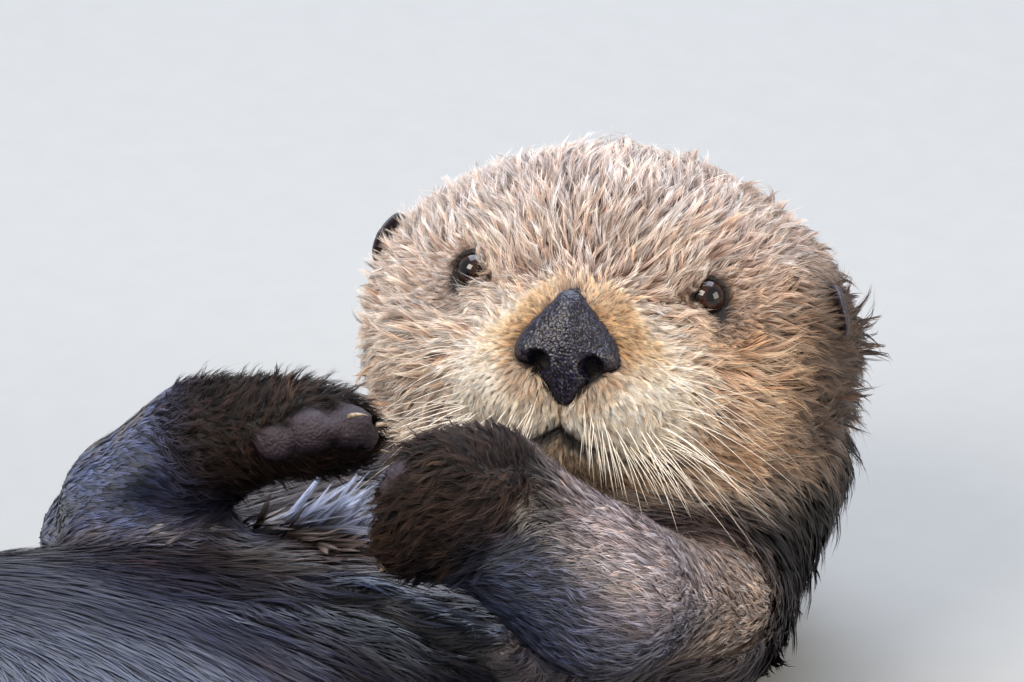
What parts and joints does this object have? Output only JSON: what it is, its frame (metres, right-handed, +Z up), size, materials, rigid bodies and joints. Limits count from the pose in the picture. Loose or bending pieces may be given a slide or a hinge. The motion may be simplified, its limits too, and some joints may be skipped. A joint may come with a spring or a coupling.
{
  "type": "sea otter",
  "caption": "Life-size model of a sea otter lying on its back, head raised toward its belly, forepaws held together on the chest, hind flippers lifted.",
  "frame": {"origin": "middle of the bounding box, on the floor that the back lies on", "axes": "+Y toward the head end, along the body; +Z up, the way the belly faces; +X to the otter's left"},
  "size_m": [0.436, 1.013, 0.2938],
  "materials": {
    "face_fur": "short damp cream to tan fur in pointed tufts",
    "neck_fur": "wet dark brown fur in thick pointed locks",
    "body_fur": "wet blue-black fur lying flat in streaks, brown beneath",
    "limb_fur": "short dark brown fur, wet and glossy",
    "bare_skin": "bare dark slate skin, fine creases",
    "nose_skin": "moist blue-black pebbled skin",
    "eye": "wet dark brown eyeball under a clear cornea",
    "claw": "pale horn, lightly polished"
  },
  "bodies": {
    "root": {"neck": "neck_fur", "chest": "body_fur", "belly": "body_fur", "hips": "body_fur", "tail": "body_fur", "head": "face_fur", "nose": "nose_skin", "eye_left": "eye", "ear_left": "bare_skin", "upper_arm_left": "limb_fur", "forearm_left": "limb_fur", "forepaw_left": "limb_fur", "thigh_left": "limb_fur", "shank_left": "limb_fur", "hind_foot_left": "limb_fur", "claw_fore_left_1": "claw", "claw_hind_left_1": "claw", "claw_fore_left_2": "claw", "claw_hind_left_2": "claw", "claw_fore_left_3": "claw", "claw_hind_left_3": "claw", "claw_fore_left_4": "claw", "claw_hind_left_4": "claw", "claw_fore_left_5": "claw", "claw_hind_left_5": "claw", "eye_right": "eye", "ear_right": "bare_skin", "upper_arm_right": "limb_fur", "forearm_right": "limb_fur", "forepaw_right": "limb_fur", "thigh_right": "limb_fur", "shank_right": "limb_fur", "hind_foot_right": "limb_fur", "claw_fore_right_1": "claw", "claw_hind_right_1": "claw", "claw_fore_right_2": "claw", "claw_hind_right_2": "claw", "claw_fore_right_3": "claw", "claw_hind_right_3": "claw", "claw_fore_right_4": "claw", "claw_hind_right_4": "claw", "claw_fore_right_5": "claw", "claw_hind_right_5": "claw"}
  },
  "joints": []
}
